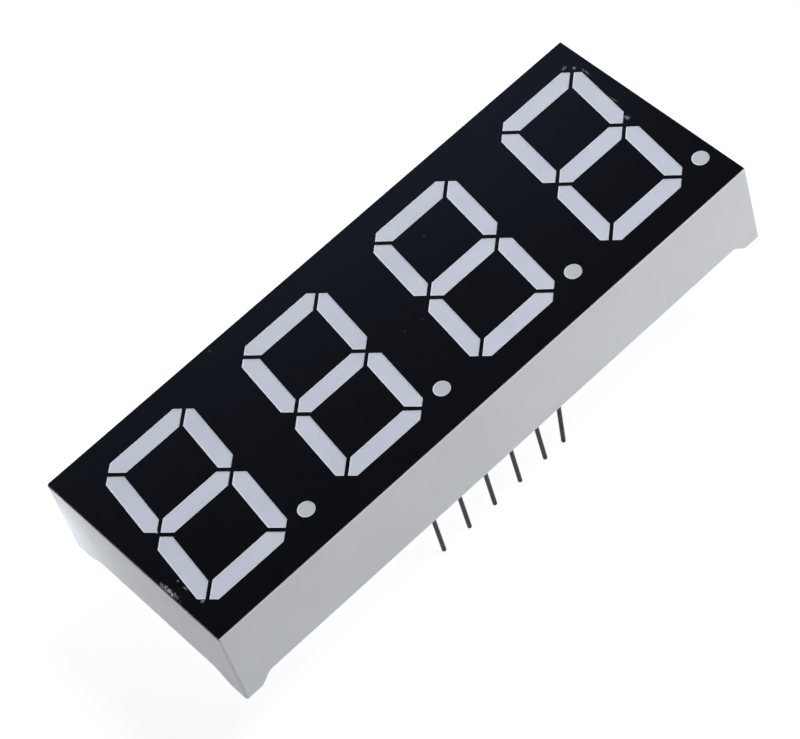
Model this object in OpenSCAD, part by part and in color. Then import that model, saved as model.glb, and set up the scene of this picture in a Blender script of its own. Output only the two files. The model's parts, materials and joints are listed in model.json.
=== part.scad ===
// Seven segment display module: four 0.56 inch digits and twelve pins in two rows.
// A white reflector housing is open at the back. Its face carries a black mask, and its
// wells are cast full of milky resin over light-emitting chips bonded to a circuit board.
// The origin is the centre of the pin pattern, on the plane of the four corner feet.
// +X runs along the row of digits, +Y towards their tops and +Z out of the face.

/* [Housing] */
// Room from the middle of the first and last digits to the inside of the end walls
end_room = 5.1; // [5:0.1:7]
// Width of the housing at its base
base_w = 19.0; // [18.6:0.1:24]
// Height from the feet to the face
body_h = 8.0; // [7.6:0.1:12]
// Thickness of the side walls
wall_t = 1.0; // [0.6:0.1:1.2]
// How far each side wall leans in from the base to the face
side_draft = 0.06; // [0:0.01:0.2]
// Radius of the upright corners
corner_r = 0.2; // [0.15:0.05:0.6]
// Radius of the edge round the face
edge_r = 0.12; // [0.05:0.01:0.14]
// Depth of the reflector block below the face
reflector_t = 4.4; // [4:0.1:4.8]

/* [Feet] */
// Height of the corner feet below the rim
foot_h = 0.9; // [0.5:0.1:1.1]
// Length of a foot's tip along the module
foot_l = 1.3; // [1:0.1:3]
// Length of a foot's tip across the module
foot_w = 1.4; // [1:0.1:3]
// Run of the curve beside a foot on the long sides
long_curve = 1.3; // [0.5:0.1:3]
// Run of the curve beside a foot on the short sides
short_curve = 2.1; // [0.5:0.1:3]

/* [Face] */
// Distance from one digit's centre to the next
digit_pitch = 12.7; // [10.5:0.1:14]
// Height of a digit over its top and bottom bars
digit_h = 14.22; // [12:0.01:15]
// Width of a digit over its side bars, before the slant
digit_w = 8.2; // [7:0.05:9]
// Slant of the digits from upright, in degrees
slant = 8; // [0:0.5:10]
// How far the digits sit above the middle of the face
digit_rise = 0.08; // [0:0.01:0.3]
// Thickness of the level bars
level_bar = 1.475; // [1.2:0.025:2]
// Thickness of the side bars
side_bar = 1.375; // [1.2:0.025:2]
// Gap between neighbouring bars
bar_gap = 0.305; // [0.2:0.005:0.6]
// Legs of the cut across each outer corner of a digit
corner_cut = 1.155; // [0.8:0.005:1.4]
// Diameter of a decimal point
point_d = 1.28; // [1.2:0.02:1.6]
// Distance of the decimal point from the digit's centre line, before the slant
point_x = 5.56; // [5.3:0.02:5.8]
// Distance of the decimal point below the middle of the digit
point_drop = 6.39; // [5.5:0.01:6.6]
// Thickness of the black mask
mask_t = 0.08; // [0.04:0.01:0.12]
// How far the mask stops short of the housing's outer edge
mask_inset = 0.1; // [0.05:0.01:0.3]
// Depth of the upright part of each well, under the mask
well_land = 0.5; // [0.2:0.1:1]
// Size of a bar's well at the board, as a share of the bar
bar_taper = 0.68; // [0.6:0.02:1]
// Size of a point's well at the board, as a share of the point
point_taper = 0.84; // [0.8:0.02:1]

/* [Board] */
// Thickness of the circuit board
board_t = 1.0; // [0.6:0.1:1.2]
// Clearance between the board's edge and the walls
board_gap = 0.15; // [0.05:0.05:0.4]
// Space between the reflector block and the board
film_gap = 0.2; // [0.15:0.05:0.3]
// Thickness of the copper, which lies level with the board's faces
copper_t = 0.035; // [0.02:0.005:0.07]
// Width of the copper tracks
track_w = 0.15; // [0.1:0.01:0.2]
// Diameter of the plated links between the two copper layers
via_d = 0.2; // [0.15:0.01:0.25]
// How far the potting stands back from the housing's rim
potting_recess = 0.3; // [0.1:0.1:0.5]
// Diameter of the two posts that locate the board
post_d = 1.0; // [0.6:0.1:1.4]
// Clearance round a locating post
post_gap = 0.05; // [0.02:0.01:0.2]

/* [Pins] */
// Distance from one pin to the next along a row
pin_pitch = 2.54; // [2:0.01:3.2]
// Distance between the two rows of pins
row_pitch = 15.24; // [12.7:0.01:15.5]
// Diameter of a pin where it is free
pin_d = 0.35; // [0.3:0.01:0.5]
// How much wider a pin's square root is than its round free length
root_extra = 0.05; // [0.02:0.01:0.1]
// Length of a pin below the feet
pin_reach = 6.2; // [3:0.1:9]
// Angle by which the bent pin leans along its row, in degrees
bent_angle = 5.5; // [0:0.1:8]

/* [Chips] */
// Width of a light-emitting chip
chip_w = 0.28; // [0.2:0.01:0.32]
// Height of a light-emitting chip
chip_h = 0.2; // [0.1:0.01:0.25]
// Thickness of a bond wire
wire_t = 0.03; // [0.02:0.005:0.05]
// Distance between the two ends of a bond wire
wire_span = 0.5; // [0.45:0.01:0.6]

/* [Hidden] */
DIGITS = [1, 2, 3, 4];
PINS = [for (n = [1:12]) n];
SITES = ["a", "b", "c", "d", "e", "f", "g", "dp"];

function pin_name(n) = str("pin_", n < 10 ? "0" : "", n);
function chip_name(digit, site) = str("chip_", digit, site);
function wires_name(digit) = str("bond_wires_", digit);

// Overall lengths
base_l = 3 * digit_pitch + 2 * (end_room + wall_t);
cavity = [base_l - 2 * wall_t, base_w - 2 * wall_t];
board = [cavity.x - 2 * board_gap, cavity.y - 2 * board_gap];
mask = [base_l, base_w] - 2 * (side_draft + mask_inset) * [1, 1];
past = 1;               // how far a cut runs past the face that it opens
curve_steps = 8;        // straight pieces in the curve beside a foot
edge_steps = 4;         // straight pieces in the rounded edge round the face

// Levels above the feet
shell_top = body_h - mask_t;
land_z = shell_top - well_land;
reflector_z = body_h - reflector_t;
board_top = reflector_z - film_gap;
board_back = board_top - board_t;
potting_z = foot_h + potting_recess;

// Digits: half the distance between the bars' middle lines, and half the outer and inner sizes
mid_x = (digit_w - side_bar) / 2;
mid_y = (digit_h - level_bar) / 2;
outer_x = digit_w / 2;
outer_y = digit_h / 2;
inner_x = mid_x - side_bar / 2;
inner_y = mid_y - level_bar / 2;
gap_leg = bar_gap / sqrt(2);
cut_sum = outer_x + outer_y - corner_cut;

// Pins, lands and solder
pin_top = board_top + film_gap / 2;
pin_tip_h = 0.15;
bent_pin = 6;
root_side = pin_d + root_extra;
root_lap = 0.15;
hole_d = root_side * sqrt(2) + 0.05;
land_d = hole_d + 0.2;
solder_h = 0.55;
solder_neck = hole_d + 0.05;

// Chips, pads and tracks
chip_shift = 0.15;
chip_pad = 0.5;
bond_pad = 0.3;
link_pad = 0.26;
common_y = row_pitch / 2 - 0.57;    // level of the tracks that join a digit to its pin
post_spots = [for (side = [-1, 1]) [side * digit_pitch, 1.5]];
pip_spots = [for (column = [-1:1], side = [-1, 1]) [column * digit_pitch, side * 5]];
pip_d = 0.8;

// ---- Places ----

function digit_x(digit) = (digit - 2.5) * digit_pitch;

// A point of an upright digit, moved to where the slant takes it
function slanted(p) = [p.x + p.y * tan(slant), p.y];

function bar_middle(site) =
    site == "a" ? [0, mid_y] :
    site == "b" ? [mid_x, mid_y / 2] :
    site == "c" ? [mid_x, -mid_y / 2] :
    site == "d" ? [0, -mid_y] :
    site == "e" ? [-mid_x, -mid_y / 2] :
    site == "f" ? [-mid_x, mid_y / 2] :
    site == "g" ? [0, 0] :
    [point_x, -point_drop];

function site_place(digit, site) = [digit_x(digit), digit_rise] + slanted(bar_middle(site));

// The direction in which a chip's bond wire runs
function wire_way(site) =
    site == "a" || site == "g" ? [1, 0] :
    site == "d" ? [-1, 0] :
    site == "b" || site == "c" ? [0, 1] :
    [0, -1];

function chip_place(digit, site) = site_place(digit, site) - chip_shift * wire_way(site);
function bond_place(digit, site) = chip_place(digit, site) + wire_span * wire_way(site);

// Pins 1 to 6 run along the lower row, and 7 to 12 come back along the upper one
function pin_place(n) =
    n <= 6 ? [(n - 3.5) * pin_pitch, -row_pitch / 2] : [(9.5 - n) * pin_pitch, row_pitch / 2];

// ---- Outlines of the bars, for an upright digit ----

function flip_x(points) = [for (p = points) [-p.x, p.y]];
function flip_y(points) = [for (p = points) [p.x, -p.y]];

// Top bar: its ends follow the outer corner cuts and the gaps to the side bars
function top_bar() =
    let (k = mid_y - mid_x + gap_leg)
    let (half = [
        [cut_sum - outer_y, outer_y],
        [(cut_sum - k) / 2, (cut_sum + k) / 2],
        [inner_y - k, inner_y]
    ])
    concat(half, [for (i = [2:-1:0]) [-half[i].x, half[i].y]]);

// Upper right bar, between the corner gap and the gaps at the middle bar
function side_bar_outline() =
    let (k = mid_y - mid_x - gap_leg)
    [
        [inner_x, inner_x + k],
        [(cut_sum - k) / 2, (cut_sum + k) / 2],
        [outer_x, cut_sum - outer_x],
        [outer_x, outer_x - mid_x + gap_leg],
        [mid_x, gap_leg],
        [inner_x, mid_x - inner_x + gap_leg]
    ];

function middle_bar() =
    let (t = level_bar / 2, reach = mid_x - gap_leg)
    [[-reach, 0], [t - reach, t], [reach - t, t], [reach, 0], [reach - t, -t], [t - reach, -t]];

function bar_outline(site) =
    site == "a" ? top_bar() :
    site == "b" ? side_bar_outline() :
    site == "c" ? flip_y(side_bar_outline()) :
    site == "d" ? flip_y(top_bar()) :
    site == "e" ? flip_x(flip_y(side_bar_outline())) :
    site == "f" ? flip_x(side_bar_outline()) :
    middle_bar();

// ---- Shapes that more than one piece uses ----

// Plan of one bar or decimal point about its own middle
module site_plan(site) {
    if (site == "dp") circle(d = point_d, $fn = 64);
    else polygon([for (p = bar_outline(site)) slanted(p - bar_middle(site))]);
}

// Plan of every bar and point of the module
module all_sites_plan() {
    for (digit = DIGITS, site = SITES) translate(site_place(digit, site)) site_plan(site);
}

// One well from the board's face up to the display's face
module well(site) {
    funnel_h = land_z - board_top;
    translate([0, 0, land_z]) linear_extrude(body_h - land_z) site_plan(site);
    if (site == "dp")
        translate([0, 0, board_top])
            cylinder(d1 = point_d * point_taper, d2 = point_d, h = funnel_h, $fn = 64);
    else
        translate([0, 0, land_z]) mirror([0, 0, 1])
            linear_extrude(funnel_h, scale = bar_taper) site_plan(site);
}

module all_wells() {
    for (digit = DIGITS, site = SITES) translate(site_place(digit, site)) well(site);
}

// A block of a given plan size, centred, between two levels
module slab(size, low, high) {
    translate([-size.x / 2, -size.y / 2, low]) cube([size.x, size.y, high - low]);
}

// Small spacers and long posts on the back of the reflector block, which carry and locate the board
module board_seats(gap = 0) {
    for (p = pip_spots) translate([p.x, p.y, board_top])
        cylinder(d = pip_d, h = film_gap + past, $fn = 32);
    for (p = post_spots) translate([p.x, p.y, board_back])
        cylinder(d = post_d + 2 * gap, h = board_t + film_gap + past, $fn = 32);
}

// ---- Housing ----

// The closed outer form, with its drafted walls and its rounded upper edge
module housing_block() {
    hull()
        for (side_x = [-1, 1], side_y = [-1, 1]) {
            foot = [side_x * (base_l / 2 - corner_r), side_y * (base_w / 2 - corner_r)];
            translate([foot.x, foot.y, 0]) cylinder(r = corner_r, h = 0.01, $fn = 32);
            for (step = [0:edge_steps]) {
                turn = 90 * step / edge_steps;
                top = foot - side_draft * [side_x, side_y];
                translate([top.x, top.y, shell_top - edge_r * (1 - sin(turn)) - 0.01])
                    cylinder(r = corner_r - edge_r * (1 - cos(turn)), h = 0.01, $fn = 32);
            }
        }
}

// Side view of the arch between two feet, with an S curve at each end
module arch_plan(span, curve) {
    rise = [for (step = [0:curve_steps])
        [curve * step / curve_steps, foot_h * (1 - cos(180 * step / curve_steps)) / 2]];
    polygon(concat(
        [[-span / 2, -past]],
        [for (p = rise) [p.x - span / 2, p.y]],
        [for (i = [curve_steps:-1:0]) [span / 2 - rise[i].x, rise[i].y]],
        [[span / 2, -past]]
    ));
}

module foot_arches() {
    translate([0, base_w / 2 + past, 0]) rotate([90, 0, 0])
        linear_extrude(base_w + 2 * past) arch_plan(base_l - 2 * foot_l, long_curve);
    translate([-base_l / 2 - past, 0, 0]) rotate([90, 0, 90])
        linear_extrude(base_l + 2 * past) arch_plan(base_w - 2 * foot_w, short_curve);
}

module reflector_housing() {
    color("white") {
        difference() {
            housing_block();
            slab(cavity, -past, reflector_z);
            foot_arches();
            all_wells();
        }
        intersection() {
            board_seats();
            slab(cavity, board_back, reflector_z);
        }
    }
}

module face_mask() {
    color([0.06, 0.06, 0.08]) translate([0, 0, shell_top]) linear_extrude(mask_t) difference() {
        square(mask, center = true);
        all_sites_plan();
    }
}

// ---- Circuit board and copper ----

// A run of straight track through a list of points
module track(points) {
    for (i = [1:len(points) - 1]) {
        step = points[i] - points[i - 1];
        translate(points[i - 1]) rotate(atan2(step.y, step.x)) translate([-track_w / 2, -track_w / 2])
            square([norm(step) + track_w, track_w]);
    }
}

module pad(place, size) {
    translate(place) square(size, center = true);
}

function bus_y(site) = bond_place(1, site).y;
function below_pin(n, y) = [pin_place(n).x, y];

// Links between the layers that don't lie under a chip's bond pad, by the bar that they serve
g_jog = [digit_x(3) - 4.45, -4.5];
b_drop_x = digit_x(3) + 2.25;
f_hop_y = common_y - 0.3;
link_places = [
    below_pin(1, bus_y("e")),
    below_pin(2, bus_y("d")),
    below_pin(4, bus_y("c")),
    [g_jog.x, bus_y("g")],
    [b_drop_x, bus_y("b")],
    below_pin(10, bus_y("f")),
    below_pin(10, f_hop_y)
];

// A digit's common track, from the bar where it leaves the digit to its pin
module common_track(digit, site, pin) {
    start = site_place(digit, site);
    level = sign(start.y) * common_y;
    track([start, [start.x, level], below_pin(pin, level), pin_place(pin)]);
}

// Tracks that join the chips of one digit, under their chips
module digit_tracks(digit) {
    for (ends = [["a", "d"], ["f", "b"], ["e", "c"], ["c", "dp"]])
        track([site_place(digit, ends[0]), site_place(digit, ends[1])]);
}

module pin_lands_plan() {
    for (n = PINS) translate(pin_place(n)) circle(d = land_d, $fn = 32);
}

module pin_holes_plan() {
    for (n = PINS) translate(pin_place(n)) circle(d = hole_d, $fn = 32);
}

module front_copper_plan() {
    difference() {
        union() {
            for (digit = DIGITS) {
                digit_tracks(digit);
                for (site = SITES) {
                    pad(chip_place(digit, site), chip_pad);
                    pad(bond_place(digit, site), bond_pad);
                }
            }
            for (place = link_places) pad(place, link_pad);
            common_track(1, "a", 12);
            common_track(2, "a", 9);
            common_track(3, "a", 8);
            common_track(4, "d", 6);
            for (link = [[1, "e"], [2, "d"], [4, "c"]])
                track([pin_place(link[0]), below_pin(link[0], bus_y(link[1]))]);
            track([pin_place(5), below_pin(5, g_jog.y), g_jog, [g_jog.x, bus_y("g")]]);
            track([pin_place(7), [b_drop_x, pin_place(7).y], [b_drop_x, bus_y("b")]]);
            track([below_pin(10, f_hop_y), below_pin(10, bus_y("f"))]);
            pin_lands_plan();
        }
        pin_holes_plan();
    }
}

module back_copper_plan() {
    difference() {
        union() {
            for (site = SITES) {
                track([bond_place(1, site), bond_place(4, site)]);
                for (digit = DIGITS) pad(bond_place(digit, site), link_pad);
            }
            for (place = link_places) pad(place, link_pad);
            track([pin_place(11), below_pin(11, bus_y("a"))]);
            track([pin_place(3), below_pin(3, bus_y("dp"))]);
            track([pin_place(10), below_pin(10, f_hop_y)]);
            pin_lands_plan();
        }
        pin_holes_plan();
    }
}

module vias() {
    places = concat(link_places, [for (digit = DIGITS, site = SITES) bond_place(digit, site)]);
    for (p = places) translate([p.x, p.y, board_back])
        cylinder(d = via_d, h = board_t - copper_t, $fn = 24);
}

module front_layer() {
    translate([0, 0, board_top - copper_t]) linear_extrude(copper_t) front_copper_plan();
}

module back_layer() {
    translate([0, 0, board_back]) linear_extrude(copper_t) back_copper_plan();
    vias();
}

module circuit_board() {
    color([0.75, 0.72, 0.45]) difference() {
        slab(board, board_back, board_top);
        front_layer();
        back_layer();
        translate([0, 0, board_back - past]) linear_extrude(board_t + 2 * past) pin_holes_plan();
        board_seats(post_gap);
    }
}

module front_copper() {
    color([0.85, 0.6, 0.25]) front_layer();
}

module back_copper() {
    color([0.8, 0.5, 0.3]) back_layer();
}

// ---- Pins and solder ----

// A pin's square root grips its round hole and ends level with the housing's rim.
// Its round free length starts a little way up in the root, and the bent pin's leans towards -X.
module pin(n) {
    length = foot_h + pin_reach;
    color([0.35, 0.35, 0.36]) translate(concat(pin_place(n), foot_h)) {
        slab([root_side, root_side], 0, pin_top - foot_h);
        rotate([0, n == bent_pin ? bent_angle : 0, 0]) {
            translate([0, 0, pin_tip_h - length])
                cylinder(d = pin_d, h = length - pin_tip_h + root_lap, $fn = 32);
            translate([0, 0, -length]) cylinder(d1 = pin_d / 2, d2 = pin_d, h = pin_tip_h, $fn = 32);
        }
    }
}

// Solder that fills each pin's hole and rises round the pin behind the board
module solder_mass(n) {
    translate(pin_place(n)) {
        translate([0, 0, board_back]) cylinder(d = hole_d, h = board_t, $fn = 32);
        translate([0, 0, board_back - solder_h])
            cylinder(d1 = solder_neck, d2 = land_d, h = solder_h, $fn = 32);
    }
}

module solder_joints() {
    color([0.7, 0.7, 0.72]) for (n = PINS) difference() {
        solder_mass(n);
        pin(n);
    }
}

// ---- Chips and bond wires ----

module chip_shape(digit, site) {
    translate(concat(chip_place(digit, site), board_top)) translate([-chip_w / 2, -chip_w / 2, 0])
        cube([chip_w, chip_w, chip_h]);
}

module chip(digit, site) {
    color([0.85, 0.75, 0.4]) chip_shape(digit, site);
}

// A wire that arches from the chip's top to the bond pad, of square section
module wire_shape(digit, site) {
    reach = wire_span / 2;
    translate(concat(chip_place(digit, site), board_top))
        rotate(atan2(wire_way(site).y, wire_way(site).x)) {
            translate([reach, 0, chip_h]) rotate([90, 0, 0]) rotate_extrude(angle = 180, $fn = 48)
                translate([reach - wire_t / 2, -wire_t / 2]) square(wire_t);
            translate([wire_span - wire_t / 2, -wire_t / 2, 0]) cube([wire_t, wire_t, chip_h]);
        }
}

module bond_wires(digit) {
    color("gold") for (site = SITES) wire_shape(digit, site);
}

// ---- Resin ----

// One casting: it fills the wells, wraps the board and closes the back of the housing
module resin_fill() {
    color([0.85, 0.87, 0.9]) difference() {
        union() {
            all_wells();
            slab(cavity, potting_z, reflector_z);
        }
        difference() {
            slab(board, board_back, board_top);
            board_seats(post_gap);
        }
        board_seats();
        for (n = PINS) {
            solder_mass(n);
            pin(n);
        }
        for (digit = DIGITS, site = SITES) {
            chip_shape(digit, site);
            wire_shape(digit, site);
        }
    }
}

// ---- Assembly ----

reflector_housing();
face_mask();
resin_fill();
circuit_board();
front_copper();
back_copper();
solder_joints();
for (n = PINS)
    pin(n);
for (digit = DIGITS)
    bond_wires(digit);
for (digit = DIGITS, site = SITES)
    chip(digit, site);
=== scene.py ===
import json
import math

import bmesh
import bpy
from mathutils import Matrix, Vector


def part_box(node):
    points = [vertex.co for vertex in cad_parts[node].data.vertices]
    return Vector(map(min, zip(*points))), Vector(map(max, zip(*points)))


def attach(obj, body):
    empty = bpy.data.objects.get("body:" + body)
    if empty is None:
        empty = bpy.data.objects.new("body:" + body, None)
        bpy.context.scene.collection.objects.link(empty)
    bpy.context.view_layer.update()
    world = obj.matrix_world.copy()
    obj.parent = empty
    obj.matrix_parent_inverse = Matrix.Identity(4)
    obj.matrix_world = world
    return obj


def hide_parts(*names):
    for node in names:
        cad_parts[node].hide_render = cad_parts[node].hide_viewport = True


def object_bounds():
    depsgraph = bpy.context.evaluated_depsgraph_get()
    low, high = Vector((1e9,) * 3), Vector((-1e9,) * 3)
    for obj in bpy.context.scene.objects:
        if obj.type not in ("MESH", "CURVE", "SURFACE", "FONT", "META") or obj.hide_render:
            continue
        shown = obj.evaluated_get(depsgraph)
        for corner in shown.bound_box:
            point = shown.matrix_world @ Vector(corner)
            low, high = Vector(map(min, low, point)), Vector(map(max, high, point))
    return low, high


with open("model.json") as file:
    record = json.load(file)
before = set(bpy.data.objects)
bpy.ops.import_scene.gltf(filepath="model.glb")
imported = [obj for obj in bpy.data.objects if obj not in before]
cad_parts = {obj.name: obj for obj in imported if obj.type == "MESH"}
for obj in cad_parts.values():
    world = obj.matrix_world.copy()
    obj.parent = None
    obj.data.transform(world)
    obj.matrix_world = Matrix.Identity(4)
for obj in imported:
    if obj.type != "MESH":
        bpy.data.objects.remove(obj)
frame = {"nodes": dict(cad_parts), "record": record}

# A four-digit seven segment display module, standing on its pins on a pale studio floor.
# Everything is in metres, in the CAD frame: +X along the digits, +Y to their tops, +Z out of the face.

cad_low, cad_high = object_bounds()
MM = 0.001


# ---- Materials: helpers ----

class Shader:
    """A material with one Principled shader and short ways to add nodes to it."""

    def __init__(self, name):
        self.material = bpy.data.materials.new(name)
        self.material.use_nodes = True
        self.nodes = self.material.node_tree.nodes
        self.links = self.material.node_tree.links
        self.principled = self.nodes["Principled BSDF"]
        self.place = self.add("ShaderNodeTexCoord").outputs["Object"]

    def add(self, kind, **settings):
        node = self.nodes.new(kind)
        for key, value in settings.items():
            setattr(node, key, value)
        return node

    def set(self, **values):
        """Sets the Principled shader's own sockets, by their names with _ for a space."""
        for key, value in values.items():
            self.principled.inputs[key.replace("_", " ")].default_value = value

    def link(self, output, socket):
        self.links.new(output, self.principled.inputs[socket])

    def noise(self, size, detail=3.0, roughness=0.55):
        """Noise from 0 to 1 whose blotches are about size metres across."""
        node = self.add("ShaderNodeTexNoise")
        node.inputs["Scale"].default_value = 1 / size
        node.inputs["Detail"].default_value = detail
        node.inputs["Roughness"].default_value = roughness
        self.links.new(self.place, node.inputs["Vector"])
        return node.outputs["Fac"]

    def spread(self, value, low, high, from_low=0.3, from_high=0.7):
        """Maps a value from one range to another, clamped. Noise lies mostly from 0.3 to 0.7."""
        node = self.add("ShaderNodeMapRange")
        numbers = {"From Min": from_low, "From Max": from_high, "To Min": low, "To Max": high}
        for key, number in numbers.items():
            node.inputs[key].default_value = number
        self.links.new(value, node.inputs["Value"])
        return node.outputs["Result"]

    def mix(self, factor, first, second):
        """Mixes two colours, each a tuple or an output."""
        node = self.add("ShaderNodeMix", data_type="RGBA")
        self.links.new(factor, node.inputs["Factor"])
        for socket, colour in (("A", first), ("B", second)):
            target = next(s for s in node.inputs if s.name == socket and s.type == "RGBA")
            if isinstance(colour, tuple):
                target.default_value = (*colour, 1)
            else:
                self.links.new(colour, target)
        return next(s for s in node.outputs if s.type == "RGBA")

    def mottle(self, noise, first, second):
        """A colour that drifts between two others with the noise."""
        return self.mix(self.spread(noise, 0, 1), first, second)

    def maths(self, operation, first, second):
        """Does a sum on two outputs."""
        node = self.add("ShaderNodeMath", operation=operation)
        self.links.new(first, node.inputs[0])
        self.links.new(second, node.inputs[1])
        return node.outputs["Value"]

    def vector_maths(self, operation, vector, amount):
        """Does a sum on a vector output and a constant vector."""
        node = self.add("ShaderNodeVectorMath", operation=operation)
        self.links.new(vector, node.inputs[0])
        node.inputs[1].default_value = amount
        return node.outputs["Vector"]

    def length(self, vector):
        node = self.add("ShaderNodeVectorMath", operation="LENGTH")
        self.links.new(vector, node.inputs[0])
        return node.outputs["Value"]

    def attribute(self, name):
        """A value painted on the mesh, from 0 to 1."""
        return self.add("ShaderNodeAttribute", attribute_name=name).outputs["Fac"]

    def bump(self, layers):
        """Bump from (value, height in metres, strength) layers, each on top of the last."""
        normal = None
        for value, height, strength in layers:
            node = self.add("ShaderNodeBump")
            node.inputs["Distance"].default_value = height
            node.inputs["Strength"].default_value = strength
            self.links.new(value, node.inputs["Height"])
            if normal:
                self.links.new(normal, node.inputs["Normal"])
            normal = node.outputs["Normal"]
        self.link(normal, "Normal")


# ---- Materials ----

def housing_plastic():
    """White moulded plastic: a soft satin skin with faint flow clouds."""
    shader = Shader("housing_plastic")
    shader.set(IOR=1.5, Subsurface_Weight=0.12)
    shader.set(Subsurface_Scale=0.4 * MM, Subsurface_Radius=(1.0, 0.95, 0.9))
    clouds = shader.noise(9 * MM, 2)
    shader.link(shader.mottle(clouds, (0.497, 0.513, 0.543), (0.527, 0.543, 0.573)), "Base Color")
    shader.link(shader.spread(shader.noise(1.2 * MM), 0.36, 0.5), "Roughness")
    shader.bump([(clouds, 0.02 * MM, 0.3), (shader.noise(0.16 * MM, 2), 0.004 * MM, 0.5)])
    return shader.material


def rubbed_patches():
    """Where the coat is rubbed: by the left end, faintly in between, and round the last digit.

    Each patch is an oval: centre x, centre y, half length, half height, and how bright its flecks are.
    """
    low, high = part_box("face_mask")
    left, right = low.x, high.x
    centre, middle = (low.x + high.x) / 2, (low.y + high.y) / 2
    return [
        (left + 0.12 * MM, middle - 3.9 * MM, 0.45 * MM, 2.3 * MM, 0.55),
        (left + 0.1 * MM, middle - 4.3 * MM, 0.3 * MM, 0.35 * MM, 0.85),
        (left + 1.07 * MM, middle - 3.8 * MM, 0.2 * MM, 0.2 * MM, 0.7),
        (left + 1.0 * MM, middle - 4.6 * MM, 0.2 * MM, 0.4 * MM, 0.35),
        (left + 1.15 * MM, middle - 6.3 * MM, 0.35 * MM, 0.3 * MM, 0.5),
        (left + 2.6 * MM, middle + 0.28 * MM, 0.2 * MM, 0.2 * MM, 0.6),
        (centre - 10.2 * MM, middle + 8.9 * MM, 0.4 * MM, 0.3 * MM, 0.06),
        (centre - 0.1 * MM, middle - 0.75 * MM, 0.25 * MM, 0.25 * MM, 0.06),
        (centre + 1.38 * MM, middle - 1.0 * MM, 0.4 * MM, 0.2 * MM, 0.06),
        (centre + 6.45 * MM, middle + 4.27 * MM, 0.3 * MM, 0.15 * MM, 0.1),
        (right - 1.6 * MM, middle + 7.35 * MM, 0.6 * MM, 0.28 * MM, 0.4),
        (right - 1.1 * MM, middle + 6.8 * MM, 0.35 * MM, 0.4 * MM, 0.4),
        (right - 0.8 * MM, middle + 5.8 * MM, 0.22 * MM, 0.9 * MM, 0.3),
        (right - 1.35 * MM, middle + 2.4 * MM, 0.22 * MM, 1.0 * MM, 0.2),
        (right - 1.95 * MM, middle + 0.4 * MM, 0.4 * MM, 0.7 * MM, 0.35),
    ]


def flecks_in_patch(shader, grit, x, y, half_x, half_y, brightness):
    """How far the coat is rubbed through: gritty flecks, densest in the middle of the oval."""
    offset = shader.vector_maths("SUBTRACT", shader.place, (x, y, 0))
    reach = shader.length(shader.vector_maths("MULTIPLY", offset, (1 / half_x, 1 / half_y, 0)))
    nearness = shader.spread(reach, 0.5, 0, from_low=0, from_high=1)
    rubbing = shader.maths("ADD", nearness, grit)
    flecks = shader.spread(rubbing, 0, brightness, from_low=0.8, from_high=1.0)
    inside = shader.spread(nearness, 0, 1, from_low=0, from_high=0.1)
    return shader.maths("MULTIPLY", flecks, inside)


def black_coat():
    """Black printed coat: satin, a little uneven, and rubbed through in a few patches."""
    shader = Shader("black_coat")
    shader.set(IOR=1.5)
    grit = shader.noise(0.15 * MM, 4, 0.75)
    worn = None
    for patch in rubbed_patches():
        flecks = flecks_in_patch(shader, grit, *patch)
        worn = shader.maths("MAXIMUM", worn, flecks) if worn else flecks
    sheen = shader.noise(5 * MM, 2)
    black = shader.mottle(sheen, (0.0016, 0.0013, 0.0019), (0.0021, 0.0018, 0.0027))
    shader.link(shader.mix(worn, black, (0.50, 0.53, 0.60)), "Base Color")
    shader.link(shader.spread(shader.noise(0.9 * MM), 0.19, 0.23), "Roughness")
    shader.bump([(sheen, 0.01 * MM, 0.1), (shader.noise(0.12 * MM, 2), 0.001 * MM, 0.15)])
    return shader.material


def milky_resin():
    """Cast epoxy full of diffusing powder: bluish white, greyer in the points, with a painted highlight at
    the rims.
    """
    shader = Shader("milky_resin")
    shader.set(IOR=1.52, Subsurface_Weight=0.35)
    shader.set(Subsurface_Scale=0.5 * MM, Subsurface_Radius=(1.0, 1.0, 1.1))
    clouds = shader.noise(3 * MM, 3)
    cloudy = shader.mottle(clouds, (0.49, 0.52, 0.59), (0.535, 0.56, 0.635))
    greyed = shader.mix(shader.attribute("point"), cloudy, (0.45, 0.475, 0.505))
    # Painted highlight: the rims are painted near white, for light caught on the slope of the dish.
    shader.link(shader.mix(shader.attribute("rim"), greyed, (0.84, 0.85, 0.87)), "Base Color")
    shader.link(shader.spread(shader.noise(0.7 * MM), 0.34, 0.48), "Roughness")
    shader.bump([(clouds, 0.02 * MM, 0.3), (shader.noise(0.1 * MM, 2), 0.002 * MM, 0.5)])
    return shader.material


def board_laminate():
    """Pale yellow glass-filled laminate, a little uneven."""
    shader = Shader("board_laminate")
    shader.set(IOR=1.5, Roughness=0.55)
    shader.link(shader.mottle(shader.noise(0.5 * MM), (0.60, 0.55, 0.30), (0.68, 0.63, 0.38)), "Base Color")
    shader.bump([(shader.noise(0.3 * MM, 2), 0.01 * MM, 0.5)])
    return shader.material


def metal(name, dark, light, roughness, grain=0.4 * MM):
    """Metal whose colour and roughness drift between two values."""
    shader = Shader(name)
    shader.set(Metallic=1.0)
    shader.link(shader.mottle(shader.noise(grain), dark, light), "Base Color")
    shader.link(shader.spread(shader.noise(grain / 2), *roughness), "Roughness")
    shader.bump([(shader.noise(grain / 3, 2), 0.004 * MM, 0.5)])
    return shader.material


def chip_crystal():
    """Glossy amber crystal of the light-emitting chips."""
    shader = Shader("chip_crystal")
    shader.set(IOR=2.4, Roughness=0.2)
    shader.link(shader.mottle(shader.noise(0.08 * MM), (0.5, 0.42, 0.16), (0.62, 0.54, 0.25)), "Base Color")
    return shader.material


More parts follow.
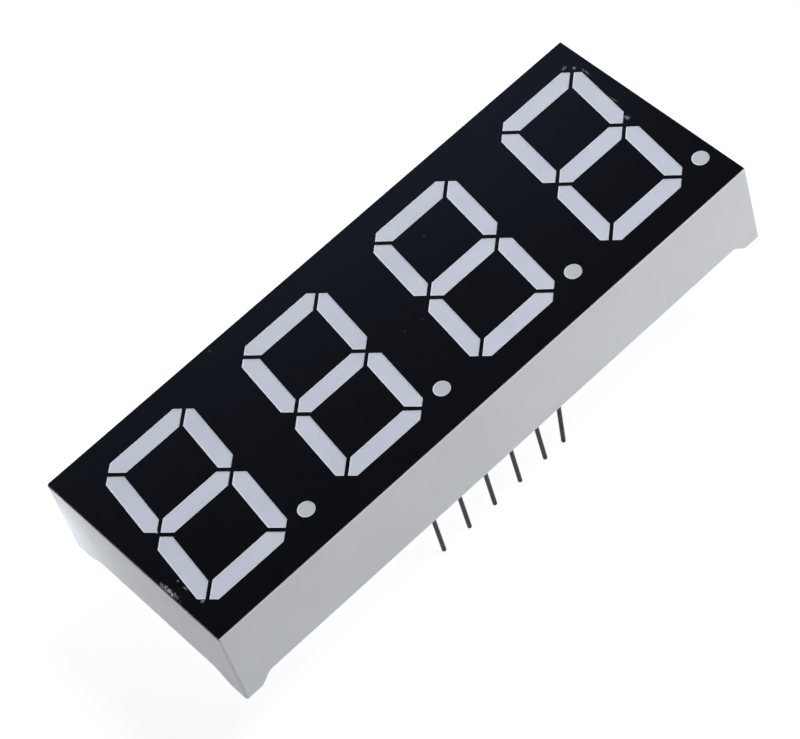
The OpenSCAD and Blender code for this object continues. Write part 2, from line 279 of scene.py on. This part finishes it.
def make_finishes():
    """One material for each material slot of the record."""
    return {
        "housing_plastic": housing_plastic(),
        "black_coat": black_coat(),
        "milky_resin": milky_resin(),
        "board_laminate": board_laminate(),
        "copper": metal("copper", (0.62, 0.33, 0.18), (0.75, 0.43, 0.26), (0.3, 0.45)),
        # Painted shade: the pin metal is near black so that the pins look shaded, though tinned pins are
        # bright.
        "pin_metal": metal("pin_metal", (0.026, 0.026, 0.027), (0.048, 0.048, 0.05), (0.3, 0.5)),
        "solder": metal("solder", (0.55, 0.55, 0.56), (0.68, 0.68, 0.68), (0.25, 0.4)),
        "chip_crystal": chip_crystal(),
        "gold_wire": metal("gold_wire", (0.85, 0.58, 0.2), (0.95, 0.7, 0.3), (0.2, 0.3), 0.1 * MM),
    }


def dress_cad_nodes(finishes):
    """Gives each CAD node the material of its slot in the record."""
    for part in frame["record"]["subparts"]:
        node = frame["nodes"][part["node"]]
        node.data.materials.clear()
        node.data.materials.append(finishes[part["material_slot"]])


# ---- Resin pieces, whose fine shape the CAD leaves plain ----

def add_resin_piece(name, bm, resin):
    """Makes a resin piece that rides on the module out of a bmesh."""
    mesh = bpy.data.meshes.new(name)
    bm.to_mesh(mesh)
    bm.free()
    mesh.materials.append(resin)
    piece = bpy.data.objects.new(name, mesh)
    bpy.context.scene.collection.objects.link(piece)
    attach(piece, "root")
    return piece


def paint(faces, layer, shade):
    """Gives every corner of the faces one shade of a vertex layer, from 0 to 1."""
    for vert in {vert for face in faces for vert in face.verts}:
        vert[layer] = (shade, shade, shade, 1)


def islands(faces):
    """Splits faces into the groups that touch edge to edge."""
    left = set(faces)
    while left:
        island, newest = set(), {left.pop()}
        while newest:
            island |= newest
            newest = {other for face in newest for side in face.edges for other in side.link_faces} & left
            left -= newest
        yield island


def mark_points(bm, tops):
    """Marks the decimal points, which are much smaller than the bars."""
    largest_point = 2 * MM * MM
    layer = bm.verts.layers.float_color.new("point")
    paint(bm.faces, layer, 0)
    for island in islands(tops):
        if sum(face.calc_area() for face in island) < largest_point:
            paint(island, layer, 1)


def dish_tops(bm, tops):
    """Sinks the bars and points inside a narrow rim, in two steps that round the slope, and marks the rim
    for a painted highlight.
    """
    rim_width, dish_depth = 0.1 * MM, 0.025 * MM
    layer = bm.verts.layers.float_color.new("rim")
    paint(bm.faces, layer, 0)
    for step, shade in ((1, 1), (2, 0.35)):
        paint(tops, layer, shade)
        sunk = -dish_depth / step
        bmesh.ops.inset_region(bm, faces=tops, thickness=rim_width / 2, depth=sunk, use_even_offset=True)
    paint(tops, layer, 0)


def resin_casting(resin):
    """The cast resin. It shrank as it set, so each bar and point is dished and has a raised rim."""
    same_place, same_level = 1e-7, 1e-6
    bm = bmesh.new()
    bm.from_mesh(frame["nodes"]["resin_fill"].data)
    bmesh.ops.remove_doubles(bm, verts=bm.verts, dist=same_place)
    face_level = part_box("resin_fill")[1].z
    tops = [face for face in bm.faces if all(abs(v.co.z - face_level) < same_level for v in face.verts)]
    dish_tops(bm, tops)
    mark_points(bm, tops)
    piece = add_resin_piece("resin_casting", bm, resin)
    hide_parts("resin_fill")


def meniscus_profile(width, height, steps=6):
    """Outline of resin that climbs a wall, as (distance from the wall, rise above the surface).

    It is a hollow quarter round, closed by two points a little way inside the resin.
    """
    sink = 0.02 * MM
    turns = [math.pi / 2 * step / steps for step in range(steps + 1)]
    curve = [(width * (1 - math.cos(turn)), height * (1 - math.sin(turn))) for turn in turns]
    return curve + [(width, -sink), (0, -sink)]


def bridge_rings(bm, rings):
    """Joins each ring of vertices to the next, and the last to the first."""
    for ring, following in zip(rings, rings[1:] + rings[:1]):
        for i in range(len(ring)):
            k = (i + 1) % len(ring)
            bm.faces.new((ring[i], ring[k], following[k], following[i]))
    bmesh.ops.recalc_face_normals(bm, faces=bm.faces)


def wall_meniscus(resin):
    """Where the potting has crept along the inside of the housing's walls."""
    low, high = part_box("resin_fill")
    bm = bmesh.new()
    rings = []
    for inset, rise in meniscus_profile(0.4 * MM, 0.24 * MM):
        left, right, front, back = low.x + inset, high.x - inset, low.y + inset, high.y - inset
        corners = [(left, front), (right, front), (right, back), (left, back)]
        rings.append([bm.verts.new((x, y, low.z - rise)) for x, y in corners])
    bridge_rings(bm, rings)
    add_resin_piece("wall_meniscus", bm, resin)


def pin_meniscus(pin, resin):
    """Where the potting has crept along one pin's root. A bent pin leans to the left of its root."""
    low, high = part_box(pin)
    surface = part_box("resin_fill")[0].z
    half = (high.y - low.y) / 2
    centre_x, centre_y = high.x - half, (high.y + low.y) / 2
    inner_radius = 1.15 * half    # between the sides and the corners of the square root
    sides = 24
    turns = [math.tau * i / sides for i in range(sides)]
    bm = bmesh.new()
    rings = []
    for reach, rise in meniscus_profile(0.4 * MM, 0.22 * MM):
        radius = inner_radius + reach
        circle = [(centre_x + radius * math.cos(turn), centre_y + radius * math.sin(turn)) for turn in turns]
        rings.append([bm.verts.new((x, y, surface - rise)) for x, y in circle])
    bridge_rings(bm, rings)
    for face in bm.faces:
        face.smooth = True
    add_resin_piece(pin + "_meniscus", bm, resin)


# ---- Studio ----

def floor_finish():
    """Pale glowing paper. Its underside is clear, so that the module can be seen from below."""
    shader = Shader("studio_floor")
    shader.set(Roughness=0.9, Emission_Color=(1, 1, 1, 1), Emission_Strength=0.90)
    shader.link(shader.mottle(shader.noise(60 * MM), (0.17, 0.17, 0.17), (0.19, 0.19, 0.19)), "Base Color")
    clear = shader.add("ShaderNodeBsdfTransparent")
    either = shader.add("ShaderNodeMixShader")
    shader.links.new(shader.add("ShaderNodeNewGeometry").outputs["Backfacing"], either.inputs["Fac"])
    shader.links.new(shader.principled.outputs["BSDF"], either.inputs[1])
    shader.links.new(clear.outputs["BSDF"], either.inputs[2])
    shader.links.new(either.outputs["Shader"], shader.nodes["Material Output"].inputs["Surface"])
    return shader.material


def studio_floor():
    """A wide pale disc under the pins."""
    mesh = bpy.data.meshes.new("studio_floor")
    bm = bmesh.new()
    bmesh.ops.create_circle(bm, cap_ends=True, segments=96, radius=3.0)
    bm.to_mesh(mesh)
    bm.free()
    mesh.materials.append(floor_finish())
    floor = bpy.data.objects.new("studio_floor", mesh)
    floor.location.z = cad_low.z
    bpy.context.scene.collection.objects.link(floor)


def softbox(name, target, offset, size, radiance, tint=(1.0, 1.0, 1.0), mirrored=True):
    """A square soft light at an offset from its target. The camera never sees it straight on.

    A light that isn't mirrored shows in no glossy surface either, as behind crossed polarisers.
    """
    light = bpy.data.lights.new(name, "AREA")
    light.shape = "SQUARE"
    light.size = size
    light.energy = radiance * math.pi * size * size
    light.color = tint
    box = bpy.data.objects.new(name, light)
    box.location = target + Vector(offset)
    box.rotation_euler = (-Vector(offset)).to_track_quat("-Z", "Y").to_euler()
    box.visible_camera = False
    box.visible_glossy = mirrored
    bpy.context.scene.collection.objects.link(box)


def studio_lights():
    """A soft light above the right end, a dim blue one above the back, and three small ones.

    The top light isn't mirrored, because it would turn the whole black coat grey from the left.
    The small ones stand by the left end, the right front corner and the back. They stay below
    the face, so that the coat doesn't mirror them.
    """
    middle = (cad_low + cad_high) / 2
    left_back = Vector((cad_low.x, cad_high.y, middle.z))
    right_front = Vector((cad_high.x, cad_low.y, middle.z))
    back = Vector((0, cad_high.y, middle.z))
    softbox("top_light", middle, (0.25, -0.06, 0.43), 0.235, 17.9, mirrored=False)
    softbox("left_light", left_back, (-0.005, 0.002, 0.002), 0.005, 5.7, (0.93, 0.97, 1.0))
    softbox("right_light", right_front, (0.02, -0.05, 0), 0.012, 19.5, (1.0, 0.98, 0.94))
    softbox("back_light", back, (0, 0.06, 0), 0.012, 24.0)
    softbox("sky_card", middle, (0.12, 0.36, 0.28), 0.24, 0.5, (0.42, 0.62, 1.0))


def studio_sky():
    """A dim sky above the horizon and a pale glow below it."""
    world = bpy.data.worlds.new("studio")
    world.use_nodes = True
    nodes, links = world.node_tree.nodes, world.node_tree.links
    way = nodes.new("ShaderNodeSeparateXYZ")
    links.new(nodes.new("ShaderNodeTexCoord").outputs["Generated"], way.inputs["Vector"])
    height = nodes.new("ShaderNodeMapRange")
    height.inputs["From Min"].default_value = -1
    links.new(way.outputs["Z"], height.inputs["Value"])
    shade = nodes.new("ShaderNodeValToRGB")
    glow, sky = shade.color_ramp.elements
    glow.position, glow.color = 0.48, (0.85, 0.86, 0.88, 1)
    sky.position, sky.color = 0.5, (0.045, 0.053, 0.066, 1)
    links.new(height.outputs["Result"], shade.inputs["Fac"])
    links.new(shade.outputs["Color"], nodes["Background"].inputs["Color"])
    bpy.context.scene.world = world


def studio_camera():
    """A long lens above the front left corner, rolled so that the row of digits climbs to the right."""
    azimuth, elevation, roll = math.radians(-26.72), math.radians(53.51), math.radians(19.45)
    distance = 0.2240
    aim = Vector((-0.0012, -0.0003, 0.0041))
    to_camera = Vector((
        math.sin(azimuth) * math.cos(elevation),
        -math.cos(azimuth) * math.cos(elevation),
        math.sin(elevation),
    ))
    lens = bpy.data.cameras.new("camera")
    lens.sensor_width = 36
    lens.lens = 143.1
    lens.clip_start = 0.01
    lens.clip_end = 20
    camera = bpy.data.objects.new("camera", lens)
    turn = (-to_camera).to_track_quat("-Z", "Y").to_matrix().to_4x4() @ Matrix.Rotation(-roll, 4, "Z")
    camera.matrix_world = Matrix.Translation(aim + to_camera * distance) @ turn
    bpy.context.scene.collection.objects.link(camera)
    bpy.context.scene.camera = camera


# ---- The scene ----

finishes = make_finishes()
resin = finishes["milky_resin"]
dress_cad_nodes(finishes)
resin_casting(resin)
wall_meniscus(resin)
for number in range(1, 13):
    pin_meniscus(f"pin_{number:02}", resin)
studio_floor()
studio_lights()
studio_sky()
studio_camera()
bpy.context.scene.view_settings.view_transform = "Standard"
